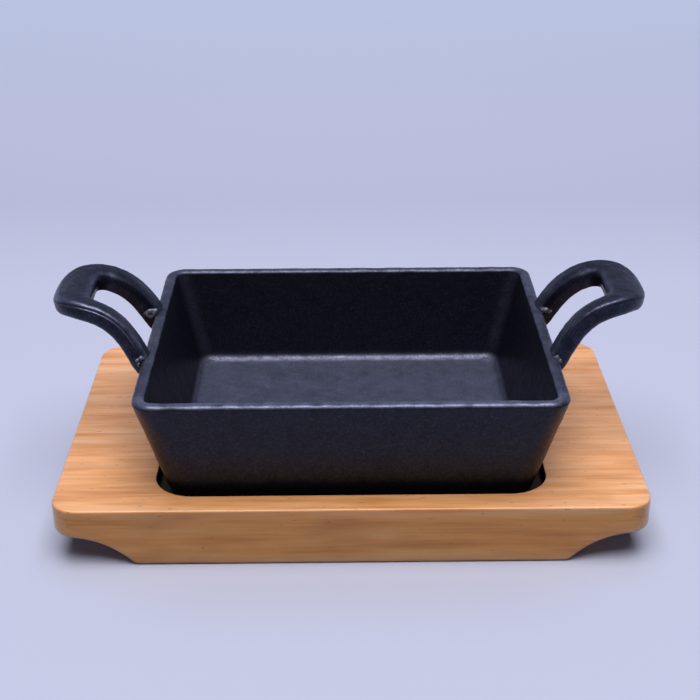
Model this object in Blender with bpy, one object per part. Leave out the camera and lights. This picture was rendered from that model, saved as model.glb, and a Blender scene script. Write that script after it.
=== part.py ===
"""Cast iron sizzler pan on its wooden board.

A rectangular iron dish with two loop handles stands in a shallow recess routed in a
wooden board, whose two ends are undercut so that fingers can lift it. The pan lifts
straight up out of the recess.

Metres, +Z up. The origin is the middle of the board's underside, +X runs from the
left handle to the right one, and +Y runs from the front to the back.
"""

import math

import bmesh
import bpy
import numpy as np
from mathutils import Vector

# Wooden board
BOARD_LENGTH = 0.224
BOARD_DEPTH = 0.145
BOARD_THICKNESS = 0.0234
BOARD_CORNER_RADIUS = 0.010
BOARD_EDGE_RADIUS = 0.0020
BOARD_END_THICKNESS = 0.0115
COVE_RUN = 0.0310
COVE_CURVED_RUN = 0.0262

# Recess that the dish stands in
RECESS_DEPTH = 0.005
RECESS_CLEARANCE = 0.005
RECESS_CORNER_RADIUS = 0.015
RECESS_EDGE_CHAMFER = 0.0004

# Dish: sizes over the rim and the draft that lets the casting leave its mould
DISH_LENGTH = 0.1608
DISH_WIDTH = 0.1353
DISH_HEIGHT = 0.0450
DISH_INSIDE_DEPTH = 0.0385
RIM_WIDTH = 0.0046
RIM_EDGE_RADIUS = 0.0012
OUTSIDE_DRAFT = math.radians(13.8)
INSIDE_DRAFT = math.radians(15.1)
RIM_CORNER_RADIUS = 0.0085
BASE_CORNER_RADIUS = 0.0100
BASE_EDGE_RADIUS = 0.0025
FLOOR_FILLET_RADIUS = 0.0040
INSIDE_CORNER_RADIUS = 0.0045

# Loop handles, measured along and across the curved bar
HANDLE_REACH = 0.0357
HANDLE_CREST_REACH = 0.0275
HANDLE_CREST_RISE = 0.0173
HANDLE_ROOT_DROP = 0.0042
HANDLE_ROOT_ANGLE = math.radians(50.0)
HANDLE_ROOT_PULL = 0.0060
HANDLE_CREST_PULL = 0.0205
HANDLE_TIP_ANGLE = math.radians(-35.0)
HANDLE_DIP_LEAN = 0.3
HANDLE_THICKNESS = 0.0080
HANDLE_EDGE_RADIUS = 0.0013
HANDLE_UNDER_EDGE_RUN = 0.0030
HANDLE_UNDER_EDGE_RISE = 0.0036
HANDLE_HOLE_EDGE_RUN = 0.0050
HANDLE_HOLE_EDGE_DROP = 0.0038
HANDLE_BAR_WIDTH = 0.0105
HANDLE_ROOT_WIDTH = 0.0582
HANDLE_TIP_WIDTH = 0.0460
HANDLE_TIP_CORNER_RADIUS = 0.0192
HANDLE_GRIP_DEPTH = 0.0157
HANDLE_LOOP_CORNER_RADIUS = 0.0050
HANDLE_BLANK_BEHIND_WALL = 0.0110

# Running gap between pieces that touch on the real object
SEAT_GAP = 0.0003

# How finely round stretches are divided
CORNER_STEPS = 8
EDGE_STEPS = 3
COVE_STEPS = 12
ARM_STEPS = 13
TIP_CORNER_STEPS = 9
TIP_FLAT_STEPS = 3
FACE_ROWS = 4
PATH_SAMPLES = 400

# How far apart the two points lie that give the handle path its direction
PATH_PROBE = 0.0004

# How strongly the arm's sections crowd towards the root, where 1 spaces them evenly
ARM_CROWDING = 1.35

# How far a hidden trimming shape reaches past what it trims
CUTTER_REACH = 0.005

# Edges that turn by more than these stay sharp, or are eased on the board
SMOOTH_ANGLE = math.radians(40)
EASE_ANGLE = math.radians(30)

# Heights that follow from the sizes
BOARD_TOP = BOARD_THICKNESS
RECESS_FLOOR = BOARD_TOP - RECESS_DEPTH
DISH_BASE = RECESS_FLOOR + SEAT_GAP
DISH_RIM = DISH_BASE + DISH_HEIGHT
DISH_FLOOR = DISH_RIM - DISH_INSIDE_DEPTH
RIM_OVERHANG = RIM_EDGE_RADIUS * (1 / math.tan((math.radians(90) - OUTSIDE_DRAFT) / 2) - 1)
BASE_INSET = DISH_HEIGHT * math.tan(OUTSIDE_DRAFT) - RIM_OVERHANG
BASE_LENGTH = DISH_LENGTH - 2 * BASE_INSET
BASE_WIDTH = DISH_WIDTH - 2 * BASE_INSET


def clear_scene():
    """Remove every object that the file holds."""
    for item in list(bpy.data.objects):
        bpy.data.objects.remove(item, do_unlink=True)


def make_material(name, colour, roughness, metallic):
    """Make a Principled material from a linear colour and two surface values."""
    material = bpy.data.materials.new(name)
    material.use_nodes = True
    shader = material.node_tree.nodes["Principled BSDF"]
    shader.inputs["Base Color"].default_value = (*colour, 1.0)
    shader.inputs["Roughness"].default_value = roughness
    shader.inputs["Metallic"].default_value = metallic
    return material


def add_object(name, bm, material=None, smooth_angle=None):
    """Turn a bmesh into a named object whose faces point outwards."""
    bmesh.ops.recalc_face_normals(bm, faces=bm.faces)
    mesh = bpy.data.meshes.new(name)
    bm.to_mesh(mesh)
    bm.free()
    if smooth_angle is not None:
        mesh.shade_smooth()
        mesh.set_sharp_from_angle(angle=smooth_angle)
    if material is not None:
        mesh.materials.append(material)
    item = bpy.data.objects.new(name, mesh)
    bpy.context.collection.objects.link(item)
    return item


def mix(first, last, share):
    """Value part of the way from the first to the last."""
    return first + (last - first) * share


def rounded_rectangle(length, width, radius, steps=CORNER_STEPS):
    """Points round a rectangle whose four corners are arcs, anticlockwise from above."""
    points = []
    for quarter in range(4):
        sign_x = 1 if quarter in (0, 3) else -1
        sign_y = 1 if quarter < 2 else -1
        centre_x = sign_x * (length / 2 - radius)
        centre_y = sign_y * (width / 2 - radius)
        for step in range(steps + 1):
            angle = math.radians(90) * (quarter + step / steps)
            points.append((centre_x + radius * math.cos(angle), centre_y + radius * math.sin(angle)))
    return points


def add_ring(bm, points, height):
    """Add one ring of vertices at a height."""
    return [bm.verts.new((x, y, height)) for x, y in points]


def bridge_rings(bm, rings):
    """Join each ring of vertices to the next with quads and close both ends."""
    for lower, upper in zip(rings, rings[1:]):
        count = len(lower)
        for k in range(count):
            after = (k + 1) % count
            bm.faces.new((lower[k], lower[after], upper[after], upper[k]))
    bm.faces.new(list(reversed(rings[0])))
    bm.faces.new(rings[-1])


def fillet_between(corner, before, after, radius, steps):
    """Points of the arc that rounds the corner of a section's two straight lines."""
    corner_point = Vector(corner)
    towards_before = (Vector(before) - corner_point).normalized()
    towards_after = (Vector(after) - corner_point).normalized()
    half_angle = towards_before.angle(towards_after) / 2
    centre = corner_point + (towards_before + towards_after).normalized() * radius / math.sin(half_angle)
    start = corner_point + towards_before * radius / math.tan(half_angle) - centre
    end = corner_point + towards_after * radius / math.tan(half_angle) - centre
    points = []
    for k in range(steps + 1):
        blend = start.normalized().slerp(end.normalized(), k / steps)
        points.append(tuple(centre + blend * radius))
    return points


def dish_section():
    """Section of the dish wall as three lists of (inset, height) points.

    The outside leans in by the outside draft down to the base fillet, the rim is flat
    with eased edges, and the inside leans in by the inside draft down to the fillet
    that meets the floor. Insets are measured from the rim's outermost line.
    """
    base = (BASE_INSET, DISH_BASE)
    rim_outer = (-RIM_OVERHANG, DISH_RIM)
    rim_inner = (RIM_WIDTH, DISH_RIM)
    floor = (RIM_WIDTH + DISH_INSIDE_DEPTH * math.tan(INSIDE_DRAFT), DISH_FLOOR)
    base_middle = (DISH_WIDTH / 2, DISH_BASE)
    floor_middle = (DISH_WIDTH / 2, DISH_FLOOR)
    base_fillet = fillet_between(base, base_middle, rim_outer, BASE_EDGE_RADIUS, EDGE_STEPS)
    rim = fillet_between(rim_outer, base, rim_inner, RIM_EDGE_RADIUS, EDGE_STEPS)
    rim += fillet_between(rim_inner, rim_outer, floor, RIM_EDGE_RADIUS, EDGE_STEPS)
    floor_fillet = fillet_between(floor, rim_inner, floor_middle, FLOOR_FILLET_RADIUS, EDGE_STEPS + 1)
    return base_fillet, rim, floor_fillet


def make_dish(material):
    """Carry the wall section round the dish and close it with the base and the floor."""
    base_fillet, rim, floor_fillet = dish_section()
    outlines = []
    for inset, height in base_fillet:
        drop = (DISH_RIM - height) / DISH_HEIGHT
        outlines.append((inset, height, mix(RIM_CORNER_RADIUS, BASE_CORNER_RADIUS, drop)))
    for inset, height in rim:
        outlines.append((inset, height, mix(RIM_CORNER_RADIUS, INSIDE_CORNER_RADIUS, inset / RIM_WIDTH)))
    for inset, height in floor_fillet:
        drop = (DISH_RIM - height) / DISH_INSIDE_DEPTH
        outlines.append((inset, height, mix(INSIDE_CORNER_RADIUS, BASE_CORNER_RADIUS, drop)))
    bm = bmesh.new()
    rings = []
    for inset, height, radius in outlines:
        outline = rounded_rectangle(DISH_LENGTH - 2 * inset, DISH_WIDTH - 2 * inset, radius)
        rings.append(add_ring(bm, outline, height))
    bridge_rings(bm, rings)
    return add_object("dish", bm, material, smooth_angle=SMOOTH_ANGLE)


def wall_point(drop):
    """Point (x, z) of the right end wall's outer face at a drop below the rim."""
    return np.array([DISH_LENGTH / 2 + RIM_OVERHANG - drop * math.tan(OUTSIDE_DRAFT), DISH_RIM - drop])


class HandlePath:
    """Curved middle line of a handle bar, in the plane of the handle.

    A short straight lies behind the dish's end wall and is trimmed off. From the wall
    the line rises on a cubic curve to its crest above the rim, and dips on a second
    curve to the tip. Points are found by the length run from the straight's far end.
    """

    def __init__(self):
        """Work out the line's points and the length run at each of them."""
        root = wall_point(HANDLE_ROOT_DROP)
        root_way = np.array([math.cos(HANDLE_ROOT_ANGLE), math.sin(HANDLE_ROOT_ANGLE)])
        crest = np.array([DISH_LENGTH / 2 + HANDLE_CREST_REACH, DISH_RIM + HANDLE_CREST_RISE])
        tip_run = HANDLE_REACH - HANDLE_CREST_REACH
        tip_pull = tip_run / 3
        tip = crest + tip_run * np.array([1.0, math.tan(HANDLE_TIP_ANGLE) / 2])
        tip_way = np.array([math.cos(HANDLE_TIP_ANGLE), math.sin(HANDLE_TIP_ANGLE)])
        rise = self.cubic(
            root,
            root + root_way * HANDLE_ROOT_PULL,
            crest - np.array([HANDLE_CREST_PULL, 0.0]),
            crest,
        )
        dip = self.cubic(
            crest,
            crest + np.array([tip_pull, 0.0]),
            tip - tip_way * tip_pull,
            tip,
        )
        behind = root - root_way * HANDLE_BLANK_BEHIND_WALL
        self.points = np.vstack([behind[None], rise, dip[1:]])
        steps = np.linalg.norm(np.diff(self.points, axis=0), axis=1)
        self.lengths = np.concatenate([[0.0], np.cumsum(steps)])
        self.length = float(self.lengths[-1])

    def cubic(self, first, pull_first, pull_last, last):
        """Points along a cubic Bezier curve."""
        t = np.linspace(0.0, 1.0, PATH_SAMPLES)[:, None]
        return (
            (1 - t) ** 3 * first
            + 3 * (1 - t) ** 2 * t * pull_first
            + 3 * (1 - t) * t**2 * pull_last
            + t**3 * last
        )

    def middle(self, run):
        """Point of the middle line at a length run."""
        return np.array([np.interp(run, self.lengths, self.points[:, axis]) for axis in (0, 1)])

    def place(self, run, offset):
        """Position at a length run along the middle line and an offset above it.

        The offset is square to the line up to the crest. Past it the offset leans by
        only a share of the dip's slope, so that the tip's outer face stands near upright.
        """
        along, up = self.middle(run + PATH_PROBE / 2) - self.middle(run - PATH_PROBE / 2)
        slope = math.atan2(up, along)
        lean = slope if slope > 0 else slope * HANDLE_DIP_LEAN
        return self.middle(run) + offset * np.array([-math.sin(lean), math.cos(lean)])


def loop_edge(reach, root_half, tip_half, corner_radius):
    """One edge of the U-shaped loop as (run, across) points, front root to back root.

    The front arm closes in towards the tip, an arc turns the corner, the tip runs
    straight across, and the back half mirrors the front.
    """
    straight = reach - corner_radius
    front = []
    for k in range(ARM_STEPS):
        share = (k / ARM_STEPS) ** ARM_CROWDING
        front.append((straight * share, -mix(root_half, tip_half, share)))
    for k in range(TIP_CORNER_STEPS + 1):
        angle = math.radians(-90 + 90 * k / TIP_CORNER_STEPS)
        across = -(tip_half - corner_radius) + corner_radius * math.sin(angle)
        front.append((straight + corner_radius * math.cos(angle), across))
    flat = tip_half - corner_radius
    middle = [(reach, -flat + 2 * flat * k / TIP_FLAT_STEPS) for k in range(1, TIP_FLAT_STEPS)]
    back = [(run, -across) for run, across in reversed(front)]
    return np.array(front + middle + back)


def edge_normals(points):
    """Unit normals of a loop edge, pointing away from the loop's middle."""
    ways = np.gradient(points, axis=0)
    ways[0] = (1.0, 0.0)
    ways[-1] = (-1.0, 0.0)
    ways /= np.linalg.norm(ways, axis=1)[:, None]
    return np.stack([ways[:, 1], -ways[:, 0]], axis=1)


def side_profile(under_edge, top_edge):
    """Side of the bar as (inset, offset) points, from the underside up to the top face.

    Each edge is a quarter ellipse, given as how far it runs in and how far down or up
    the side it reaches.
    """
    half = HANDLE_THICKNESS / 2
    turns = [math.radians(90 * k / EDGE_STEPS) for k in range(EDGE_STEPS + 1)]
    run, rise = under_edge
    profile = [(run * (1 - math.sin(a)), -half + rise * (1 - math.cos(a))) for a in turns]
    run, drop = top_edge
    profile += [(run * (1 - math.cos(a)), half - drop * (1 - math.sin(a))) for a in turns]
    return profile


def bar_ring(outer, outer_normal, inner, inner_normal):
    """One closed section of the bar as (run, across, offset) points.

    The outer side rises from the underside's full round, the top runs across to the
    hole's softened upper edge, the inner side goes down, and the underside runs back.
    """
    small_edge = (HANDLE_EDGE_RADIUS, HANDLE_EDGE_RADIUS)
    outer_side = side_profile((HANDLE_UNDER_EDGE_RUN, HANDLE_UNDER_EDGE_RISE), small_edge)
    inner_side = side_profile(small_edge, (HANDLE_HOLE_EDGE_RUN, HANDLE_HOLE_EDGE_DROP))
    outer_points = [(*(outer - outer_normal * inset), offset) for inset, offset in outer_side]
    inner_points = [(*(inner - inner_normal * inset), offset) for inset, offset in reversed(inner_side)]
    rows = [k / (FACE_ROWS + 1) for k in range(1, FACE_ROWS + 1)]
    top_start, top_end = np.array(outer_points[-1]), np.array(inner_points[0])
    under_start, under_end = np.array(inner_points[-1]), np.array(outer_points[0])
    ring = list(outer_points)
    ring += [tuple(top_start + (top_end - top_start) * row) for row in rows]
    ring += inner_points
    ring += [tuple(under_start + (under_end - under_start) * row) for row in rows]
    return ring


def make_cutter(name, bm):
    """Make a hidden shape that only cuts others."""
    cutter = add_object(name, bm)
    cutter.hide_render = True
    cutter.display_type = "WIRE"
    return cutter


def cut(item, cutter):
    """Subtract a cutter from an object."""
    boolean = item.modifiers.new("cut_" + cutter.name, "BOOLEAN")
    boolean.operation = "DIFFERENCE"
    boolean.solver = "EXACT"
    boolean.object = cutter


def dish_envelope():
    """Solid a running gap larger than the dish's outside, which trims the handle roots."""
    aside = SEAT_GAP / math.cos(OUTSIDE_DRAFT)
    above = SEAT_GAP * math.tan(OUTSIDE_DRAFT)
    levels = [
        (DISH_BASE, BASE_INSET - aside, BASE_CORNER_RADIUS),
        (DISH_RIM + SEAT_GAP, -RIM_OVERHANG - aside - above, RIM_CORNER_RADIUS),
    ]
    bm = bmesh.new()
    rings = []
    for height, inset, radius in levels:
        outline = rounded_rectangle(DISH_LENGTH - 2 * inset, DISH_WIDTH - 2 * inset, radius)
        rings.append(add_ring(bm, outline, height))
    bridge_rings(bm, rings)
    return make_cutter("dish_envelope", bm)


def make_handle(name, side, material, envelope):
    """Carry the bar's section round the U-shaped loop, bent along the handle's path.

    The blank starts behind the dish's end wall and is trimmed by the dish's envelope,
    so its root seats on the leaning wall and laps a little over the rim.
    """
    path = HandlePath()
    outer = loop_edge(path.length, HANDLE_ROOT_WIDTH / 2, HANDLE_TIP_WIDTH / 2, HANDLE_TIP_CORNER_RADIUS)
    inner = loop_edge(
        path.length - HANDLE_GRIP_DEPTH,
        HANDLE_ROOT_WIDTH / 2 - HANDLE_BAR_WIDTH,
        HANDLE_TIP_WIDTH / 2 - HANDLE_BAR_WIDTH,
        HANDLE_LOOP_CORNER_RADIUS,
    )
    outer_normals = edge_normals(outer)
    inner_normals = -edge_normals(inner)
    bm = bmesh.new()
    rings = []
    for k in range(len(outer)):
        ring = []
        for run, across, offset in bar_ring(outer[k], outer_normals[k], inner[k], inner_normals[k]):
            x, z = path.place(run, offset)
            ring.append(bm.verts.new((side * x, across, z)))
        rings.append(ring)
    bridge_rings(bm, rings)
    handle = add_object(name, bm, material, smooth_angle=SMOOTH_ANGLE)
    cut(handle, envelope)
    return handle


def cove_cutter(name, side):
    """Trough across the board that hollows the underside of one end.

    Its ceiling is level from the end inwards, then curves down to the foot.
    """
    rise = BOARD_THICKNESS - BOARD_END_THICKNESS
    radius = (COVE_CURVED_RUN**2 + rise**2) / (2 * rise)
    level_end = BOARD_LENGTH / 2 - COVE_RUN + COVE_CURVED_RUN
    below = math.asin((radius - rise - CUTTER_REACH) / radius)
    outside = BOARD_LENGTH / 2 + CUTTER_REACH
    profile = [(outside, -CUTTER_REACH), (outside, rise)]
    for k in range(COVE_STEPS + 1):
        angle = mix(math.radians(90), math.radians(180) - below, k / COVE_STEPS)
        profile.append((level_end + radius * math.cos(angle), rise - radius + radius * math.sin(angle)))
    bm = bmesh.new()
    rings = []
    for across in (-BOARD_DEPTH, BOARD_DEPTH):
        rings.append([bm.verts.new((side * x, across, z)) for x, z in profile])
    bridge_rings(bm, rings)
    return make_cutter(name, bm)


def recess_cutter():
    """Block with rounded corners that routs the recess and eases its upper edge."""
    length = BASE_LENGTH + 2 * RECESS_CLEARANCE
    width = BASE_WIDTH + 2 * RECESS_CLEARANCE
    ease = RECESS_EDGE_CHAMFER
    levels = [
        (RECESS_FLOOR, 0.0),
        (BOARD_TOP - ease, 0.0),
        (BOARD_TOP + CUTTER_REACH, CUTTER_REACH + ease),
    ]
    bm = bmesh.new()
    rings = []
    for height, spread in levels:
        outline = rounded_rectangle(length + 2 * spread, width + 2 * spread, RECESS_CORNER_RADIUS + spread)
        rings.append(add_ring(bm, outline, height))
    bridge_rings(bm, rings)
    return make_cutter("recess_cutter", bm)


def make_board(material):
    """Cut the coves from a slab, ease its edges and rout the recess."""
    bm = bmesh.new()
    outline = rounded_rectangle(BOARD_LENGTH, BOARD_DEPTH, BOARD_CORNER_RADIUS)
    bridge_rings(bm, [add_ring(bm, outline, 0.0), add_ring(bm, outline, BOARD_TOP)])
    board = add_object("wooden_board", bm, material)
    for name, side in (("cove_cutter_left", -1), ("cove_cutter_right", 1)):
        cut(board, cove_cutter(name, side))
    ease = board.modifiers.new("eased_edges", "BEVEL")
    ease.width = BOARD_EDGE_RADIUS
    ease.segments = EDGE_STEPS
    ease.limit_method = "ANGLE"
    ease.angle_limit = EASE_ANGLE
    cut(board, recess_cutter())
    return board


def main():
    """Build the board and the pan, and hang the pan's pieces on the line it lifts along."""
    clear_scene()
    board_wood = make_material("varnished_wood", (0.62, 0.33, 0.16), 0.38, 0.0)
    dish_iron = make_material("dish_cast_iron", (0.028, 0.030, 0.040), 0.55, 0.6)
    left_iron = make_material("left_handle_cast_iron", (0.032, 0.034, 0.046), 0.55, 0.6)
    right_iron = make_material("right_handle_cast_iron", (0.032, 0.034, 0.046), 0.55, 0.6)
    make_board(board_wood)
    lift_line = bpy.data.objects.new("pan_lift_line", None)
    bpy.context.collection.objects.link(lift_line)
    lift_line.location = (0.0, 0.0, DISH_BASE)
    envelope = dish_envelope()
    pieces = [
        make_dish(dish_iron),
        make_handle("handle_left", -1, left_iron, envelope),
        make_handle("handle_right", 1, right_iron, envelope),
    ]
    bpy.context.view_layer.update()
    for piece in pieces:
        piece.parent = lift_line
        piece.matrix_parent_inverse = lift_line.matrix_world.inverted()


if __name__ == "__main__":
    main()
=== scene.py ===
"""Looks of the cast iron sizzler pan on its wooden board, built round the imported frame.

Each piece is a surface worked out with numpy in the frame's own metres, so that it
stands where its CAD node stands. The dish and the board are sections carried round
rounded rectangles, and each loop handle is a bar's section carried round a U and bent
along the handle's path. Every finish is a node material on Object coordinates.
"""

from __future__ import annotations

import logging
import math
from dataclasses import dataclass
from enum import Enum

import bmesh
import bpy
import numpy as np
from mathutils import Matrix, Vector


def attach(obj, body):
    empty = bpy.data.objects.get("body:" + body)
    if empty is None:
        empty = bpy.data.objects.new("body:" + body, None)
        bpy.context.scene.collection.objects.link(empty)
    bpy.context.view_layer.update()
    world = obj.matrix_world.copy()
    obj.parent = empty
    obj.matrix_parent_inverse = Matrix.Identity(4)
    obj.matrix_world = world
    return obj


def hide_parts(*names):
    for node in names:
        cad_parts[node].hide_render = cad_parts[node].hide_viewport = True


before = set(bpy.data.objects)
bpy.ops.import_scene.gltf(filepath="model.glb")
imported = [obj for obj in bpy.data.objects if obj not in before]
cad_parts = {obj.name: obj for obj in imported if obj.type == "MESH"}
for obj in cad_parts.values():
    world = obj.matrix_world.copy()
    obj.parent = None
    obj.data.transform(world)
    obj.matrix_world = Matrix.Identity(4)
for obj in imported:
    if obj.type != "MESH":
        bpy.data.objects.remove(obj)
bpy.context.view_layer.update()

LOG = logging.getLogger("sizzler_pan")
Pair = tuple[float, float]
Triple = tuple[float, float, float]
Span = tuple[float, float, float, float]

# Points nearer than this, in metres, are one point.
SAME_PLACE = 1e-6


class Side(Enum):
    """Which end of the dish a handle is on, as the sign of its X."""

    LEFT = -1
    RIGHT = 1

    @property
    def handle(self) -> str:
        """Name of that end's handle in the CAD."""
        return f"handle_{self.name.lower()}"


class Body(Enum):
    """The CAD bodies that pieces ride on."""

    PAN = "pan"
    BOARD = "board"


def linear(colour: str) -> tuple[float, float, float, float]:
    """Turn an sRGB hex colour into linear light, by the sRGB curve.

    Args:
        colour: A hash and six hex digits.

    Returns:
        Linear red, green and blue, and an alpha of one.
    """
    coded = np.array([int(colour[k : k + 2], 16) for k in (1, 3, 5)]) / 255
    light = np.where(coded <= 0.04045, coded / 12.92, ((coded + 0.055) / 1.055) ** 2.4)
    return (*light.tolist(), 1.0)


def add_node(
    tree: bpy.types.NodeTree,
    kind: str,
    inputs: dict | None = None,
    stops: list | None = None,
    span: Span | None = None,
    **settings: object,
) -> bpy.types.NodeOutputs:
    """Add one node with its settings, inputs, ramp and span.

    Args:
        tree: The node tree that gets the node.
        kind: The node's type, without the ShaderNode that it starts with.
        inputs: Input socket to its value, or to the output socket that feeds it.
        stops: For a colour ramp, its (place, hex colour) pairs.
        span: For a mapped range, its low and high, and what they are turned into.
        settings: The node's own properties.

    Returns:
        The new node's output sockets.
    """
    node = tree.nodes.new("ShaderNode" + kind)
    for name, value in settings.items():
        setattr(node, name, value)
    feed(tree, node, inputs or {})
    if span:
        feed(tree, node, dict(zip(("From Min", "From Max", "To Min", "To Max"), span)))
    if stops:
        elements = node.color_ramp.elements
        while len(elements) < len(stops):
            elements.new(1.0)
        for element, (place, colour) in zip(elements, stops):
            element.position = place
            element.color = linear(colour)
    return node.outputs


def feed(tree: bpy.types.NodeTree, node: bpy.types.Node, inputs: dict) -> None:
    """Give a node's input sockets their values, or the output sockets that feed them.

    Args:
        tree: The tree that the node is in.
        node: The node.
        inputs: Input socket to value or output socket.
    """
    for key, value in inputs.items():
        if isinstance(value, bpy.types.NodeSocket):
            tree.links.new(value, node.inputs[key])
        else:
            node.inputs[key].default_value = value


def new_material(name: str) -> tuple[bpy.types.Material, bpy.types.NodeTree, bpy.types.Node]:
    """Make a node material that holds only a Principled shader and its output.

    Args:
        name: The material's name.

    Returns:
        The material, its node tree and its shader.
    """
    material = bpy.data.materials.new(name)
    material.use_nodes = True
    tree = material.node_tree
    return material, tree, tree.nodes["Principled BSDF"]


def mix(first: float, last: float, share: float | np.ndarray) -> float | np.ndarray:
    """Value part of the way from the first to the last."""
    return first + (last - first) * share


def bell(values: np.ndarray, centre: float, width: float) -> np.ndarray:
    """Bell curve: e to the power of minus the squared distance from the centre over the width."""
    return np.exp(-(((values - centre) / width) ** 2))


def unevenness(points: np.ndarray, wavelength: float, seed: int, waves: int = 18) -> np.ndarray:
    """Smooth random field between about -1 and 1.

    The field is the sum of sine waves in random directions and phases, each near the
    wavelength, divided by the square root of half their number and a spread of two.

    Args:
        points: Positions, with x, y and z in the last axis.
        wavelength: Middle length of the waves, in metres.
        seed: Seed of the random directions and phases.
        waves: How many waves are added up.

    Returns:
        One value for each position.
    """
    draws = np.random.default_rng(seed)
    ways = draws.normal(size=(waves, 3))
    ways /= np.linalg.norm(ways, axis=1)[:, None]
    lengths = wavelength * draws.uniform(0.7, 1.5, size=waves)
    phases = draws.uniform(0.0, 2 * math.pi, size=waves)
    turns = points @ (ways / lengths[:, None]).T * 2 * math.pi + phases
    return np.sin(turns).sum(axis=-1) / (2 * math.sqrt(waves / 2))


def sand_field(points: np.ndarray, layers: tuple[tuple[float, float, int], ...]) -> np.ndarray:
    """Sum of random fields, each given as its share, its wavelength and its seed."""
    return sum(share * unevenness(points, length, seed) for share, length, seed in layers)


def band_faces(rows: int, columns: int) -> np.ndarray:
    """Quads between neighbouring rings of a grid whose columns close on themselves.

    Args:
        rows: Number of rings.
        columns: Points in each ring.

    Returns:
        Corner indices, four to a row.
    """
    index = np.arange(rows * columns).reshape(rows, columns)
    after = np.roll(index, -1, axis=1)
    return np.stack([index[:-1], after[:-1], after[1:], index[1:]], axis=-1).reshape(-1, 4)


def outward(rings: np.ndarray) -> np.ndarray:
    """Unit normals of a closed stack of rings.

    Each is the cross product of the step round its ring and the step from the ring
    before to the ring after, divided by its length. Where points of a ring coincide, it
    is the ring's mean.

    Args:
        rings: Positions, as ring, point of the ring, and x, y, z.

    Returns:
        One normal for each position.
    """
    around = np.roll(rings, -1, axis=1) - np.roll(rings, 1, axis=1)
    normal = np.cross(around, np.gradient(rings, axis=0))
    size = np.linalg.norm(normal, axis=2, keepdims=True)
    normal = np.where(size > SAME_PLACE**2, normal, normal.mean(axis=1, keepdims=True))
    return normal / np.linalg.norm(normal, axis=2, keepdims=True)


def cast_skin(rings: np.ndarray, field: np.ndarray, depth: float) -> np.ndarray:
    """Rings pressed in as sand leaves them: by half the depth, less half of it times the field.

    Args:
        rings: Positions, as ring, point of the ring, and x, y, z.
        field: A smooth random value for each position.
        depth: How far in the lowest places lie, so that none stands proud.

    Returns:
        The moved positions.
    """
    pressed = depth * (0.5 - 0.5 * np.clip(field, -1.0, 1.0))
    return rings - outward(rings) * pressed[..., None]


def make_piece(
    name: str,
    rings: np.ndarray,
    attributes: dict[str, np.ndarray],
    material: bpy.types.Material,
    welded: bool = False,
) -> bpy.types.Object:
    """Make an object from a stack of rings, closed at its first and last.

    Args:
        name: The piece's name.
        rings: Positions, as ring, point of the ring, and x, y, z.
        attributes: Name to one value for each position.
        material: The piece's finish.
        welded: Whether the first and last rings are lines run there and back, whose
            points are merged. Otherwise a flat cap closes each.

    Returns:
        The object, shaded smooth, at the origin.
    """
    rows, columns = rings.shape[:2]
    ring = np.arange(columns)
    caps = [] if welded else [ring[::-1].tolist(), (ring + (rows - 1) * columns).tolist()]
    mesh = bpy.data.meshes.new(name)
    mesh.from_pydata(rings.reshape(-1, 3), [], band_faces(rows, columns).tolist() + caps)
    mesh.polygons.foreach_set("use_smooth", np.ones(len(mesh.polygons), bool))
    for key, values in attributes.items():
        layer = mesh.attributes.new(key, "FLOAT", "POINT")
        layer.data.foreach_set("value", values.astype(np.float32).ravel())
    if welded:
        shell = bmesh.new()
        shell.from_mesh(mesh)
        bmesh.ops.remove_doubles(shell, verts=shell.verts, dist=SAME_PLACE)
        shell.to_mesh(mesh)
        shell.free()
    mesh.materials.append(material)
    mesh.update()
    piece = bpy.data.objects.new(name, mesh)
    bpy.context.scene.collection.objects.link(piece)
    return piece


def seat(piece: bpy.types.Object, body: Body, node: str | None = None) -> None:
    """Put a finished piece on its body, in place of its CAD node where it has one.

    Args:
        piece: The finished object.
        body: The body that it moves with.
        node: The CAD node that it stands for.
    """
    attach(piece, body.value)
    if node:
        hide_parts(node)
    LOG.info("%s: %d faces, rides on %s", piece.name, len(piece.data.polygons), body.value)


@dataclass(frozen=True)
class RingPlan:
    """How the points of one ring are shared out round a rounded rectangle."""

    corner_steps: int
    long_steps: int
    short_steps: int

    def rings(
        self, length: np.ndarray, width: np.ndarray, radius: np.ndarray, height: np.ndarray
    ) -> np.ndarray:
        """Level rounded rectangles, anticlockwise from above, one for each size.

        An arc point is its corner's centre plus the radius turned by the angle. A side
        point lies part of the way between the arc ends that it joins.

        Args:
            length: Sizes along X.
            width: Sizes along Y.
            radius: Corner radii.
            height: Heights above the ground.

        Returns:
            Positions, as ring, point of the ring, and x, y, z.
        """
        signs = np.array([[1, 1], [-1, 1], [-1, -1], [1, -1]])
        angle = (np.arange(4)[:, None] + np.linspace(0, 1, self.corner_steps + 1)) * math.pi / 2
        turned = np.stack([np.cos(angle), np.sin(angle)], axis=-1)
        halves = np.stack([length / 2 - radius, width / 2 - radius], axis=-1)
        arcs = signs[:, None] * halves[:, None, None] + radius[:, None, None, None] * turned
        parts = []
        for corner in range(4):
            steps = self.short_steps if corner % 2 else self.long_steps
            share = (np.arange(1, steps) / steps)[:, None]
            leave, reach = arcs[:, corner, -1:], arcs[:, (corner + 1) % 4, :1]
            parts += [arcs[:, corner], mix(leave, reach, share)]
        outline = np.concatenate(parts, axis=1)
        tall = np.broadcast_to(height[:, None, None], (*outline.shape[:2], 1))
        return np.concatenate([outline, tall], axis=2)


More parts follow.
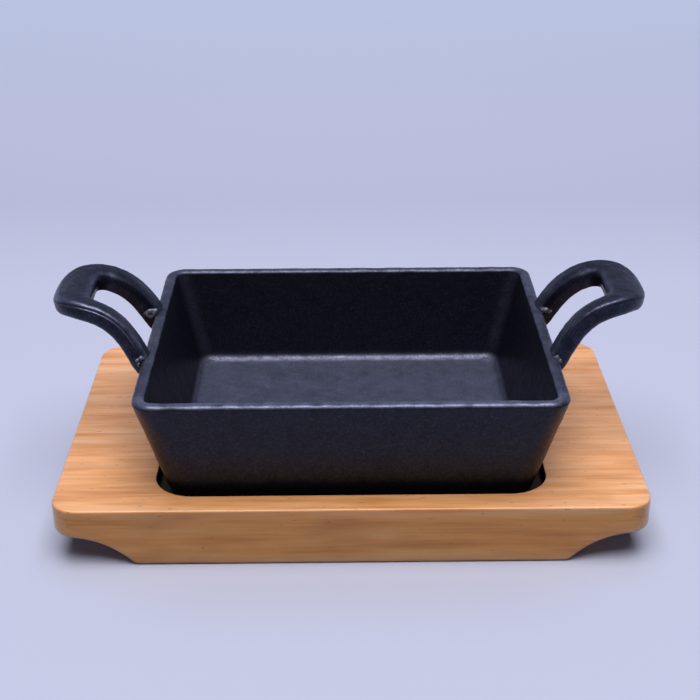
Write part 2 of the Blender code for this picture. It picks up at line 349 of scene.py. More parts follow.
def fillet(
    corner: np.ndarray, before: np.ndarray, after: np.ndarray, radius: float, steps: int
) -> np.ndarray:
    """Arc that rounds the corner between two straight lines of a section.

    The centre lies on the corner's bisector, the radius over the sine of half the
    corner's angle away, and the arc turns evenly from one tangent point to the other.

    Args:
        corner: The sharp corner.
        before: A point on the line that comes in.
        after: A point on the line that goes out.
        radius: The arc's radius.
        steps: Parts that the arc is divided into.

    Returns:
        The arc's points, from the line that comes in.
    """
    back = (before - corner) / np.linalg.norm(before - corner)
    ahead = (after - corner) / np.linalg.norm(after - corner)
    half = math.acos(float(back @ ahead)) / 2
    bisector = (back + ahead) / np.linalg.norm(back + ahead)
    centre = corner + bisector * radius / math.sin(half)
    start = corner + back * radius / math.tan(half) - centre
    end = corner + ahead * radius / math.tan(half) - centre
    turn = math.pi - 2 * half
    share = np.linspace(0.0, 1.0, steps + 1)[:, None]
    spread = np.sin((1 - share) * turn) * start + np.sin(share * turn) * end
    return centre + spread / math.sin(turn)


@dataclass(frozen=True)
class SeasonedCastIron:
    """Grey iron cast in sand and baked with oil.

    The eye sees a near-black satin skin with a cool sheen from the baked oil, fine pale
    specks where sand grains stood, and paler metal where edges rub or were ground. The
    same pale tone is also laid where light catches, as painted sheen and painted
    highlights. The sand grains are drawn 1 mm wide, four times their size, because they
    show no finer.
    A span is a field's low and high, and what they are turned into.
    """

    hollow: str = "#121522"
    skin: str = "#1c2031"
    speck: str = "#373b4e"
    # Pale tone for rubbed metal and for painted sheen and highlights.
    rubbed_and_sheen: str = "#686d8a"
    bare: str = "#8c8fa0"
    metallic: float = 0.60
    rough: float = 0.44
    rough_swing: float = 0.07
    polish: float = 0.06
    sand_grain: float = 0.0010
    sand_clump: float = 0.0040
    grain_share: float = 0.6
    grain_depth: float = 0.00010
    bump: float = 0.5
    tones: Pair = (0.38, 0.58)
    rough_tones: Pair = (0.3, 0.7)
    speck_span: Span = (0.56, 0.76, 0.0, 0.6)
    broken_span: Span = (0.38, 0.62, 0.0, 1.0)
    patchy_span: Span = (0.35, 0.65, 0.6, 1.3)

    def material(self, name: str) -> bpy.types.Material:
        """Make the finish.

        Two noises, a clump of sand and a sand grain wide, add up to the skin's tone and
        its bumps. The finer one's peaks are the specks, and it breaks up bare metal.

        Args:
            name: The material's name.

        Returns:
            The material, which reads two point attributes: the pale tone, which is partly rubbed
            metal and partly painted sheen and highlights, and the ground metal.
        """
        material, tree, shader = new_material(name)
        place = add_node(tree, "TexCoord")["Object"]
        clumps, grains = (
            add_node(
                tree,
                "TexNoise",
                {"Scale": 1 / size, "Detail": detail, "Roughness": falloff, "Vector": place},
            )["Fac"]
            for size, detail, falloff in ((self.sand_clump, 3.0, 0.6), (self.sand_grain, 2.0, 0.7))
        )
        tones = {"Factor": self.grain_share, "A": clumps, "B": grains}
        tone = add_node(tree, "Mix", tones, data_type="FLOAT")["Result"]
        swing = self.rough_swing
        rough_span = (*self.rough_tones, self.rough + swing, self.rough - swing)
        specks, broken, patchy, roughness = (
            add_node(tree, "MapRange", {"Value": field}, span=span)["Result"]
            for field, span in (
                (grains, self.speck_span),
                (grains, self.broken_span),
                (tone, self.patchy_span),
                (tone, rough_span),
            )
        )
        wear_and_sheen, ground = (
            add_node(
                tree,
                "Math",
                {0: add_node(tree, "Attribute", attribute_name=mark)["Fac"], 1: share},
                operation="MULTIPLY",
                use_clamp=True,
            )["Value"]
            for mark, share in (("wear_and_sheen", patchy), ("fettled", broken))
        )
        stops = list(zip(self.tones, (self.hollow, self.skin)))
        colour = add_node(tree, "ValToRGB", {"Fac": tone}, stops)["Color"]
        # The pale layer is partly rubbed metal and partly painted sheen and highlights.
        for share, paint in ((specks, self.speck), (wear_and_sheen, self.rubbed_and_sheen), (ground, self.bare)):
            layers = {"Factor": share, "A": colour, "B": linear(paint)}
            colour = add_node(tree, "Mix", layers, data_type="RGBA")["Result"]
        shine = {0: wear_and_sheen, 1: -self.polish, 2: roughness}
        bumps = {"Strength": self.bump, "Distance": self.grain_depth, "Height": tone}
        sockets = {
            "Base Color": colour,
            "Metallic": self.metallic,
            "Roughness": add_node(tree, "Math", shine, operation="MULTIPLY_ADD")["Value"],
            "Normal": add_node(tree, "Bump", bumps)["Normal"],
        }
        feed(tree, shader, sockets)
        return material


@dataclass(frozen=True)
class VarnishedWood:
    """Light orange-brown hardwood, planed, eased and clear varnished.

    The eye sees soft bands of straight grain along the board, finer fibres between them,
    faint blotches, a few small dark specks and a satin coat. The sides carry a redder,
    darker tint as painted shade, and the recess below its mouth is painted near black as
    painted shade, rough and without the coat. The fibres are drawn 1 mm wide, four times
    their size, because they show no finer. A span is a field's low and high, and what
    they are turned into.
    """

    dark: str = "#e09757"
    middle: str = "#fab67b"
    light: str = "#ffcba0"
    # Tint multiplied onto the sides as painted shade, redder and darker.
    side_shade_tint: str = "#fff4c9"
    blotch: str = "#b97a48"
    speck: str = "#8a5630"
    # Near black painted into the recess as painted shade.
    recess_shade_tone: str = "#171312"
    rough: float = 0.44
    coat: float = 0.8
    coat_rough: float = 0.30
    recess_shade_rough: float = 0.9
    band: float = 0.0046
    fibre: float = 0.0010
    fibre_share: float = 0.3
    fibre_depth: float = 0.00006
    bump: float = 0.4
    blotch_size: float = 0.011
    speck_size: float = 0.0011
    stretch: float = 14.0
    blotch_stretch: float = 3.0
    speck_stretch: float = 3.5
    falloff: float = 0.55
    waver: float = 0.1
    tones: Triple = (0.34, 0.50, 0.66)
    blotch_span: Span = (0.50, 0.75, 0.0, 0.40)
    speck_span: Span = (0.70, 0.80, 0.0, 0.65)

    def material(self, name: str) -> bpy.types.Material:
        """Make the finish.

        The bands and fibres are noises drawn out along X. The blotches and specks are
        the high parts of coarser and of finer noises.

        Args:
            name: The material's name.

        Returns:
            The material, which reads the board's two point attributes of painted shade: the sides'
            tint and the recess's near black.
        """
        material, tree, shader = new_material(name)
        place = add_node(tree, "TexCoord")["Object"]
        fields = []
        for size, draw, detail in (
            (self.band, self.stretch, 3.0),
            (self.fibre, 2 * self.stretch, 2.0),
            (self.blotch_size, self.blotch_stretch, 2.0),
            (self.speck_size, self.speck_stretch, 1.0),
        ):
            drawn = add_node(tree, "Mapping", {"Scale": (1 / draw, 1.0, 1.0), "Vector": place})
            noise = {"Scale": 1 / size, "Detail": detail, "Vector": drawn["Vector"]}
            noise |= {"Roughness": self.falloff, "Distortion": self.waver}
            fields.append(add_node(tree, "TexNoise", noise)["Fac"])
        bands, fibres, blotches, specks = fields
        grains = {"Factor": self.fibre_share, "A": bands, "B": fibres}
        grain = add_node(tree, "Mix", grains, data_type="FLOAT")["Result"]
        side_shade, painted_recess_shade = (
            add_node(tree, "Attribute", attribute_name=mark)["Fac"]
            for mark in ("side_shade", "painted_recess_shade")
        )
        blotched, specked, rough, coat = (
            add_node(tree, "MapRange", {"Value": field}, span=span)["Result"]
            for field, span in (
                (blotches, self.blotch_span),
                (specks, self.speck_span),
                (painted_recess_shade, (0.0, 1.0, self.rough, self.recess_shade_rough)),
                (painted_recess_shade, (0.0, 1.0, self.coat, 0.0)),
            )
        )
        stops = list(zip(self.tones, (self.dark, self.middle, self.light)))
        colour = add_node(tree, "ValToRGB", {"Fac": grain}, stops)["Color"]
        # The sides' tint and the recess's near black are painted shade, not the wood's own colour.
        for share, paint, blend in (
            (side_shade, self.side_shade_tint, "MULTIPLY"),
            (blotched, self.blotch, "MIX"),
            (specked, self.speck, "MIX"),
            (painted_recess_shade, self.recess_shade_tone, "MIX"),
        ):
            layers = {"Factor": share, "A": colour, "B": linear(paint)}
            colour = add_node(tree, "Mix", layers, data_type="RGBA", blend_type=blend)["Result"]
        bumps = {"Strength": self.bump, "Distance": self.fibre_depth, "Height": fibres}
        sockets = {
            "Base Color": colour,
            "Roughness": rough,
            "Coat Weight": coat,
            "Coat Roughness": self.coat_rough,
            "Normal": add_node(tree, "Bump", bumps)["Normal"],
        }
        feed(tree, shader, sockets)
        return material


@dataclass
class Dish:
    """The rectangular cast dish: a wall section carried round rounded rectangles."""

    finish: SeasonedCastIron
    length: float = 0.1608
    width: float = 0.1353
    base: float = 0.0187
    height: float = 0.0450
    inside_depth: float = 0.0385
    rim_width: float = 0.0046
    rim_edge: float = 0.0012
    rim_round: float = 0.0017
    outside_draft: float = math.radians(13.8)
    inside_draft: float = math.radians(15.1)
    rim_corner: float = 0.0085
    base_corner: float = 0.0100
    base_edge: float = 0.0025
    floor_fillet: float = 0.0040
    inside_corner: float = 0.0045
    floor_corner: float = 0.0060
    waviness: float = 0.00030
    sand: tuple[tuple[float, float, int], ...] = ((0.55, 0.012, 3), (0.45, 0.0045, 5))
    # Pale share of the rim's top at front, back and ends: rubbed metal and a painted highlight.
    rim_wear_and_sheen: Triple = (0.85, 0.50, 0.40)
    wear_and_sheen_top: float = 0.0011
    # Painted highlight round the floor's fillet and painted sheen over the floor.
    fillet_painted_highlight: float = 0.65
    fillet_band: float = 0.0012
    floor_painted_sheen: float = 0.75
    floor_band: float = 0.0004
    corner_worn: float = 0.14
    corner_reach: float = 0.1
    rim_patchy: float = 0.6
    floor_patchy: float = 0.2
    ground_half: float = 0.0270
    ground_fade: float = 0.0040
    ground_run: float = 0.0060
    ground_low: float = 0.0042
    ground_rise: float = 0.0032
    ground_inset: float = 0.0016
    ground_tone: Pair = (0.55, 0.60)
    base_steps: int = 6
    edge_steps: int = 8
    outside_steps: int = 30
    rim_steps: int = 3
    inside_steps: int = 26
    fillet_steps: int = 12
    floor_steps: int = 34
    plan: RingPlan = RingPlan(corner_steps=14, long_steps=120, short_steps=100)

    @property
    def rim(self) -> float:
        """Height of the rim above the ground."""
        return self.base + self.height

    @property
    def floor(self) -> float:
        """Height of the cooking floor above the ground."""
        return self.rim - self.inside_depth

    @property
    def overhang(self) -> float:
        """How far the rim's unrounded corner lies outside the dish's length."""
        return self.rim_edge * (1 / math.tan((math.pi / 2 - self.outside_draft) / 2) - 1)

    def section(self) -> np.ndarray:
        """Wall section as (inset, height, corner radius), from the base's middle to the floor's.

        The outside leans out by its draft from the base fillet to the rounded rim, and
        the inside leans in by its own draft down to the fillet that meets the floor. The
        corner radius is mixed along each of the section's five stretches.

        Returns:
            One row for each ring.
        """
        middle = self.width / 2
        base_inset = self.height * math.tan(self.outside_draft) - self.overhang
        floor_inset = self.rim_width + self.inside_depth * math.tan(self.inside_draft)
        lift = np.array([middle, self.base])
        foot = np.array([base_inset, self.base])
        outer = np.array([-self.overhang, self.rim])
        inner = np.array([self.rim_width, self.rim])
        bottom = np.array([floor_inset, self.floor])
        hollow = np.array([middle, self.floor])
        foot_arc = fillet(foot, lift, outer, self.base_edge, self.edge_steps)
        outer_arc = fillet(outer, foot, inner, self.rim_round, self.edge_steps)
        inner_arc = fillet(inner, outer, bottom, self.rim_round, self.edge_steps)
        floor_arc = fillet(bottom, inner, hollow, self.floor_fillet, self.fillet_steps)

        def line(start: np.ndarray, end: np.ndarray, steps: int) -> np.ndarray:
            """Evenly spaced points between two points, without either."""
            return mix(start, end, (np.arange(1, steps) / steps)[:, None])

        stretches = [
            np.vstack([lift, line(lift, foot_arc[0], self.base_steps)]),
            np.vstack([foot_arc, line(foot_arc[-1], outer_arc[0], self.outside_steps)]),
            np.vstack([outer_arc, line(outer_arc[-1], inner_arc[0], self.rim_steps), inner_arc]),
            np.vstack([line(inner_arc[-1], floor_arc[0], self.inside_steps), floor_arc]),
            np.vstack([line(floor_arc[-1], hollow, self.floor_steps), hollow]),
        ]
        points = np.vstack(stretches)
        part = np.repeat(np.arange(len(stretches)), [len(stretch) for stretch in stretches])
        inset, height = points.T
        up = (height - self.base) / self.height
        sunk = (height - self.floor) / self.inside_depth
        in_base = (inset - foot_arc[0, 0]) / (middle - foot_arc[0, 0])
        in_floor = (inset - floor_arc[-1, 0]) / (middle - floor_arc[-1, 0])
        corners = [
            mix(self.base_corner, 0.0, in_base),
            mix(self.base_corner, self.rim_corner, up),
            mix(self.rim_corner, self.inside_corner, inset / self.rim_width),
            mix(self.floor_corner, self.inside_corner, sunk),
            mix(self.floor_corner, 0.0, in_floor),
        ]
        radius = np.choose(part, corners)
        return np.column_stack([points, radius])

    def marks(
        self, rings: np.ndarray, inset: np.ndarray, swell: np.ndarray
    ) -> dict[str, np.ndarray]:
        """Where the iron is painted pale, as rubbed metal and as painted sheen, and where the rim
        was ground, both patchily.

        The pale share is the largest of four: the rim's top, most along the front, where
        rubbing and a painted highlight both lie; the floor, as painted sheen; the fillet round
        it, as a bell curve of the height, a painted highlight; and the corners inside, a ramp
        over the last tenth of the way out along X and Y. The fettled share is a bell curve of
        the inset, times a ramp up the wall, times a ramp inwards from the handle's arms.

        Args:
            rings: Positions, as ring, point of the ring, and x, y, z.
            inset: Each ring's inset, as a column.
            swell: The random field that breaks the shares up.

        Returns:
            The attributes, with one share for each position.
        """
        x, y, height = np.abs(rings[..., 0]), np.abs(rings[..., 1]), rings[:, :1, 2]
        above = height - self.floor
        front, back, ends = self.rim_wear_and_sheen
        # Painted highlight: the rim's top is paler along the front than at the back and ends.
        top = height > self.rim - self.wear_and_sheen_top
        along = np.where(rings[..., 1] < 0, front, back)
        rim = top * np.where(y > self.width / 2 - 2 * self.rim_width, along, ends)
        past_rim = np.arange(len(inset))[:, None] > np.argmax(height)
        inside = past_rim & (inset > self.rim_width)
        # Painted highlight round the floor's fillet, and painted sheen over the floor.
        fillet_highlight = self.fillet_painted_highlight * inside * bell(above, self.fillet_band, self.fillet_band)
        floor = self.floor_painted_sheen * (inside & (above < self.floor_band))
        halves = np.array([self.length / 2, self.width / 2]) - inset[..., None]
        out = (np.abs(rings[..., :2]) / np.maximum(halves, SAME_PLACE)).min(axis=2)
        ramp = np.clip((out - 1) / self.corner_reach + 1, 0.0, 1.0)
        corners = self.corner_worn * ramp * (inside & (above > self.floor_fillet))
        share = np.maximum(np.maximum(rim, corners), np.maximum(fillet_highlight, floor))
        wear_and_sheen = share * (1.0 + np.where(top, self.rim_patchy, self.floor_patchy) * swell)
        up = np.clip((height - self.rim + self.ground_low) / self.ground_rise, 0.0, 1.0)
        between = np.clip((self.ground_half - y) / self.ground_fade, 0.0, 1.0)
        between *= x > self.length / 2 - self.ground_run
        tone, swing = self.ground_tone
        fettled = up * bell(inset, 0.0, self.ground_inset) * between * (tone + swing * swell)
        return {"wear_and_sheen": np.clip(wear_and_sheen, 0.0, 1.0), "fettled": np.clip(fettled, 0.0, 1.0)}

    def build(self) -> bpy.types.Object:
        """Carry the section round, make it uneven as a casting is, and dress it.

        Returns:
            The dish.
        """
        inset, height, radius = self.section().T
        length, width = self.length - 2 * inset, self.width - 2 * inset
        rings = self.plan.rings(length, width, radius, height)
        swell = sand_field(rings, self.sand)
        marks = self.marks(rings, inset[:, None], swell)
        skin = cast_skin(rings, swell, self.waviness)
        iron = self.finish.material("dish_seasoned_cast_iron")
        dish = make_piece("dish_casting", skin, marks, iron, welded=True)
        seat(dish, Body.PAN, "dish")
        return dish


@dataclass
class LoopHandle:
    """A loop handle: the bar's section carried round a U and bent along the handle's path."""

    side: Side
    finish: SeasonedCastIron
    dish: Dish
    seam_height: float
    reach: float = 0.0357
    crest_reach: float = 0.0275
    crest_rise: float = 0.0173
    root_drop: float = 0.0042
    root_angle: float = math.radians(50.0)
    root_pull: float = 0.0060
    crest_pull: float = 0.0205
    tip_angle: float = math.radians(-35.0)
    dip_lean: float = 0.3
    thickness: float = 0.0080
    small_edge: Pair = (0.0014, 0.0011)
    under_edge: Pair = (0.0030, 0.0036)
    hole_edge: Pair = (0.0066, 0.0040)
    tip_edge: Pair = (0.0024, 0.0020)
    bar_width: float = 0.0105
    root_width: float = 0.0582
    tip_width: float = 0.0460
    tip_corner: float = 0.0192
    grip_depth: float = 0.0157
    loop_corner: float = 0.0050
    blank: float = 0.0110
    root_top: float = 0.0012
    root_under: float = 0.0092
    seam_width: float = 0.00030
    seam_level: float = 0.0021
    seam_start: float = 0.018
    seam_end: float = 0.003
    seam_ease: float = 0.009
    # Painted highlights: the seam, the outer top edge and the hole's upper edge are painted pale.
    seam_highlight_scale: float = 0.00040
    arris_highlight: float = 1.0
    arris_drop: float = 0.0005
    arris_band: float = 0.0006
    lip_highlight: float = 0.35
    lip_drop: float = 0.0008
    lip_band: float = 0.0004
    face_worn: Pair = (0.04, 0.06)
    edge_wear_and_highlight: Pair = (0.90, 0.60)
    hole_ease: float = 1.4
    waviness: float = 0.00022
    probe: float = 0.0002
    path_points: int = 400
    arm_points: int = 44
    arm_crowding: float = 1.2
    corner_points: int = 25
    tip_points: int = 17
    edge_points: int = 10
    side_rows: int = 30
    flat_rows: int = 11

    def middle_line(self) -> tuple[np.ndarray, np.ndarray]:
        """Middle line of the bar in the plane of the handle, and the length run along it.

        A straight starts behind the wall, a cubic Bezier curve rises from the wall to
        the crest, and a second one dips to the tip.

        Returns:
            The (x, z) points and the length run at each.
        """
        dish = self.dish
        wall = dish.length / 2 + dish.overhang - self.root_drop * math.tan(dish.outside_draft)
        root = np.array([wall, dish.rim - self.root_drop])
        root_way = np.array([math.cos(self.root_angle), math.sin(self.root_angle)])
        crest = np.array([dish.length / 2 + self.crest_reach, dish.rim + self.crest_rise])
        dip = self.reach - self.crest_reach
        tip = crest + dip * np.array([1.0, math.tan(self.tip_angle) / 2])
        tip_way = np.array([math.cos(self.tip_angle), math.sin(self.tip_angle)])
        share = np.linspace(0.0, 1.0, self.path_points)[:, None]

        def bezier(pulls: list[np.ndarray]) -> np.ndarray:
            """Cubic curve through the first and last of four points, pulled by the others."""
            weights = (math.comb(3, k) * (1 - share) ** (3 - k) * share**k for k in range(4))
            return sum(weight * pull for weight, pull in zip(weights, pulls))

        crest_arm = np.array([self.crest_pull, 0.0])
        dip_arm = np.array([dip / 3, 0.0])
        rise = bezier([root, root + root_way * self.root_pull, crest - crest_arm, crest])
        fall = bezier([crest, crest + dip_arm, tip - tip_way * dip / 3, tip])
        points = np.vstack([(root - root_way * self.blank)[None], rise, fall[1:]])
        steps = np.linalg.norm(np.diff(points, axis=0), axis=1)
        return points, np.concatenate([[0.0], np.cumsum(steps)])

    def loop_edge(
        self, reach: float, root_half: float, tip_half: float, corner: float
    ) -> np.ndarray:
        """One edge of the U as (run, across), from the front root to the back root.

        The arm closes in evenly towards the tip and meets the corner's arc as its
        tangent, the tip runs straight across, and the back half mirrors the front. The
        arm's slant is the angle of the line from the root to the arc's centre, less the
        arcsine of the arc's radius over that line's length.

        Args:
            reach: Length run at the tip.
            root_half: Half the width at the roots.
            tip_half: Half the width at the tip.
            corner: Radius of the tip's corners.

        Returns:
            The edge's points.
        """
        straight, flat = reach - corner, tip_half - corner
        slant = math.atan2(root_half - flat, straight)
        slant -= math.asin(corner / math.hypot(straight, root_half - flat))
        angle = np.linspace(slant - math.pi / 2, 0.0, self.corner_points)
        turn = np.column_stack([straight + corner * np.cos(angle), corner * np.sin(angle) - flat])
        share = (np.arange(self.arm_points) / self.arm_points)[:, None] ** self.arm_crowding
        arm = mix(np.array([0.0, -root_half]), turn[0], share)
        front = np.vstack([arm, turn])
        across = np.linspace(-flat, flat, self.tip_points)[1:-1]
        tip = np.column_stack([np.full(len(across), reach), across])
        back = front[::-1] * [1, -1]
        return np.vstack([front, tip, back])

    def seam_share(self, run: np.ndarray, length: float) -> np.ndarray:
        """Share of the seam's height left at a length run, fading to root and tip.

        Args:
            run: Lengths run along the bar.
            length: Length run at the tip.

        Returns:
            The distance inside the nearer end of the seam over its ease, from 0 to 1.
        """
        inside = np.minimum(run - self.seam_start, length - self.seam_end - run)
        return np.clip(inside / self.seam_ease, 0.0, 1.0)

    def bar_side(
        self, under: np.ndarray, top: np.ndarray, seam: np.ndarray, ease: float = 1.0
    ) -> tuple[np.ndarray, np.ndarray]:
        """One side of the bar's sections, from the underside up to the top face.

        Each edge is a quarter ellipse, the upper one's drop raised to the power of the
        ease, and the straight between them carries the seam that the two halves of the
        mould leave, a ridge shaped as a bell curve.

        Args:
            under: For each place round the loop, how far the lower edge runs in and how
                far up the side it reaches.
            top: The same for the upper edge, which reaches down.
            seam: Height of the seam at each place.
            ease: How softly the upper edge starts from the top face, one for the ellipse.

        Returns:
            The insets from the loop's edge and the offsets above the middle line.
        """
        half = self.thickness / 2
        angle = np.radians(np.linspace(0, 90, self.edge_points))
        low, high = under[:, 1:] - half, half - top[:, 1:]
        rows = mix(low, high, np.linspace(0, 1, self.side_rows + 2)[1:-1])
        ridge = seam * bell(rows, self.seam_level, self.seam_width)
        drop = top[:, 1:] * (1 - np.sin(angle)) ** ease
        inset = [under[:, :1] * (1 - np.sin(angle)), -ridge, top[:, :1] * (1 - np.cos(angle))]
        offset = [low - under[:, 1:] * np.cos(angle), rows, half - drop]
        return np.concatenate(inset, axis=1) + seam, np.concatenate(offset, axis=1)

    def section(self) -> tuple[np.ndarray, np.ndarray]:
        """Cross-sections of the bar, one at every point of the loop's two edges.

        The outer side rises from the underside's full round, the top runs across to the
        hole's softened edge, the inner side goes down, and the underside runs back. The
        outer top edge is small along the arms and grows round the tip.

        Returns:
            The (run, across) places, as place round the loop and point of the section,
            and the offsets above the middle line.
        """
        length = float(self.middle_line()[1][-1])
        outer = self.loop_edge(length, self.root_width / 2, self.tip_width / 2, self.tip_corner)
        inner = self.loop_edge(
            length - self.grip_depth,
            self.root_width / 2 - self.bar_width,
            self.tip_width / 2 - self.bar_width,
            self.loop_corner,
        )
        count = len(outer)
        at_tip = np.clip(1 - (length - outer[:, :1]) / self.tip_corner, 0.0, 1.0)
        top_edge = mix(np.array([self.small_edge]), np.array([self.tip_edge]), at_tip)
        out_inset, out_level = self.bar_side(
            np.tile(self.under_edge, (count, 1)),
            top_edge,
            self.seam_height * self.seam_share(outer[:, :1], length),
        )
        in_inset, in_level = self.bar_side(
            np.tile(self.small_edge, (count, 1)),
            np.tile(self.hole_edge, (count, 1)),
            np.zeros((count, 1)),
            self.hole_ease,
        )

        def off_edge(edge: np.ndarray) -> np.ndarray:
            """Unit normals of a loop edge in its plane, away from the loop's middle.

            Args:
                edge: The edge's points, which start and end along the run.

            Returns:
                The step along the edge turned by a right angle, at each point.
            """
            ways = np.gradient(edge, axis=0)
            ways[0], ways[-1] = (1.0, 0.0), (-1.0, 0.0)
            ways /= np.linalg.norm(ways, axis=1)[:, None]
            return np.stack([ways[:, 1], -ways[:, 0]], axis=1)

        out_side = outer[:, None] - off_edge(outer)[:, None] * out_inset[..., None]
        in_side = inner[:, None] + off_edge(inner)[:, None] * in_inset[:, ::-1, None]
        rows = np.linspace(0, 1, self.flat_rows + 2)[None, 1:-1, None]
        top = mix(out_side[:, -1:], in_side[:, :1], rows)
        under = mix(in_side[:, -1:], out_side[:, :1], rows)
        flats = np.full((count, rows.size), self.thickness / 2)
        level = np.concatenate([out_level, flats, in_level[:, ::-1], -flats], axis=1)
        return np.concatenate([out_side, top, in_side, under], axis=1), level

    def build(self) -> bpy.types.Object:
        """Bend the loop along the handle's path, make its skin uneven and dress it.

        The ends run on into the dish's wall: an end point's length run is mixed, by its
        offset, between a start deep under the rim and one just inside it. The offset is
        square to the path up to the crest, and leans by a share of the dip's slope past
        it. The outer top edge, the seam and, more faintly, the hole's edge are painted pale:
        partly rubbed metal, partly painted highlight.

        Returns:
            The handle.
        """
        points, runs = self.middle_line()
        flat, level = self.section()
        half = self.thickness / 2
        start = self.blank - mix(self.root_under, self.root_top, (level + half) / self.thickness)
        run = flat[..., 0]
        run = np.where(run < self.blank, start + run * (self.blank - start) / self.blank, run)

        def middle(at: np.ndarray) -> np.ndarray:
            """Points of the middle line at lengths run."""
            return np.stack([np.interp(at, runs, points[:, axis]) for axis in (0, 1)], axis=-1)

        way = middle(run + self.probe) - middle(run - self.probe)
        slope = np.arctan2(way[..., 1], way[..., 0])
        lean = np.where(slope > 0, slope, slope * self.dip_lean)
        placed = middle(run) + np.stack([-np.sin(lean), np.cos(lean)], axis=-1) * level[..., None]
        rings = np.stack([self.side.value * placed[..., 0], flat[..., 1], placed[..., 1]], axis=-1)
        side_points = 2 * self.edge_points + self.side_rows
        place = np.arange(level.shape[1])
        # Painted highlights along the outer top edge, the seam and the hole's upper edge, partly
        # rubbed metal.
        edge = bell(level, half - self.arris_drop, self.arris_band)
        ridge = bell(level, self.seam_level, self.seam_width) * self.seam_share(run, runs[-1])
        arris = edge + ridge * self.seam_height / self.seam_highlight_scale
        arris *= self.arris_highlight * (place < side_points)
        lip = self.lip_highlight * bell(level, half - self.lip_drop, self.lip_band)
        lip *= place // (side_points + self.flat_rows) == 1
        if self.side is Side.RIGHT:
            rings, arris, lip = rings[:, ::-1], arris[:, ::-1], lip[:, ::-1]
        seed = self.side.value
        swell = sand_field(rings, ((0.5, 0.009, 11 + seed), (0.5, 0.0032, 21 + seed)))
        face, edges = (tone + swing * swell for tone, swing in (self.face_worn, self.edge_wear_and_highlight))
        wear_and_sheen = np.clip(face + (arris + lip) * edges, 0.0, 1.0)
        skin = cast_skin(rings, swell, self.waviness)
        marks = {"wear_and_sheen": wear_and_sheen, "fettled": np.zeros_like(wear_and_sheen)}
        name = self.side.handle
        iron = self.finish.material(name + "_seasoned_cast_iron")
        piece = make_piece(name + "_casting", skin, marks, iron)
        seat(piece, Body.PAN, name)
        return piece


@dataclass(frozen=True)
class FettledLump:
    """A rough lump of iron left where a handle's arm meets the rim."""

    side: Side
    place: str
    centre: Triple
    radii: Triple
    seed: int
    relief: float = 0.28
    grain: float = 0.0016
    finish: SeasonedCastIron = SeasonedCastIron(rough=0.62, polish=0.0)
    ground: Pair = (0.60, 0.40)
    rows: int = 30
    columns: int = 44

    def build(self) -> bpy.types.Object:
        """Make the lump: an ellipsoid whose radius rises and falls with a random field.

        Returns:
            The lump.
        """
        polar = np.radians(np.linspace(179.0, 1.0, self.rows))[:, None]
        turn = np.linspace(0, 2 * math.pi, self.columns, endpoint=False)[None]
        flat = np.sin(polar)
        tall = np.cos(polar) + 0 * turn
        way = np.stack([flat * np.cos(turn), flat * np.sin(turn), tall], axis=-1)
        rings = way * np.array(self.radii)
        swell = unevenness(rings, self.grain, self.seed)
        rings = np.array(self.centre) + rings * (1 + self.relief * swell)[..., None]
        tone, swing = self.ground
        ground = np.clip(tone + swing * swell, 0.0, 1.0)
        name = f"{self.side.name.lower()}_{self.place}"
        iron = self.finish.material(name + "_cast_iron")
        lump = make_piece(name, rings, {"wear_and_sheen": ground, "fettled": ground}, iron)
        seat(lump, Body.PAN)
        return lump


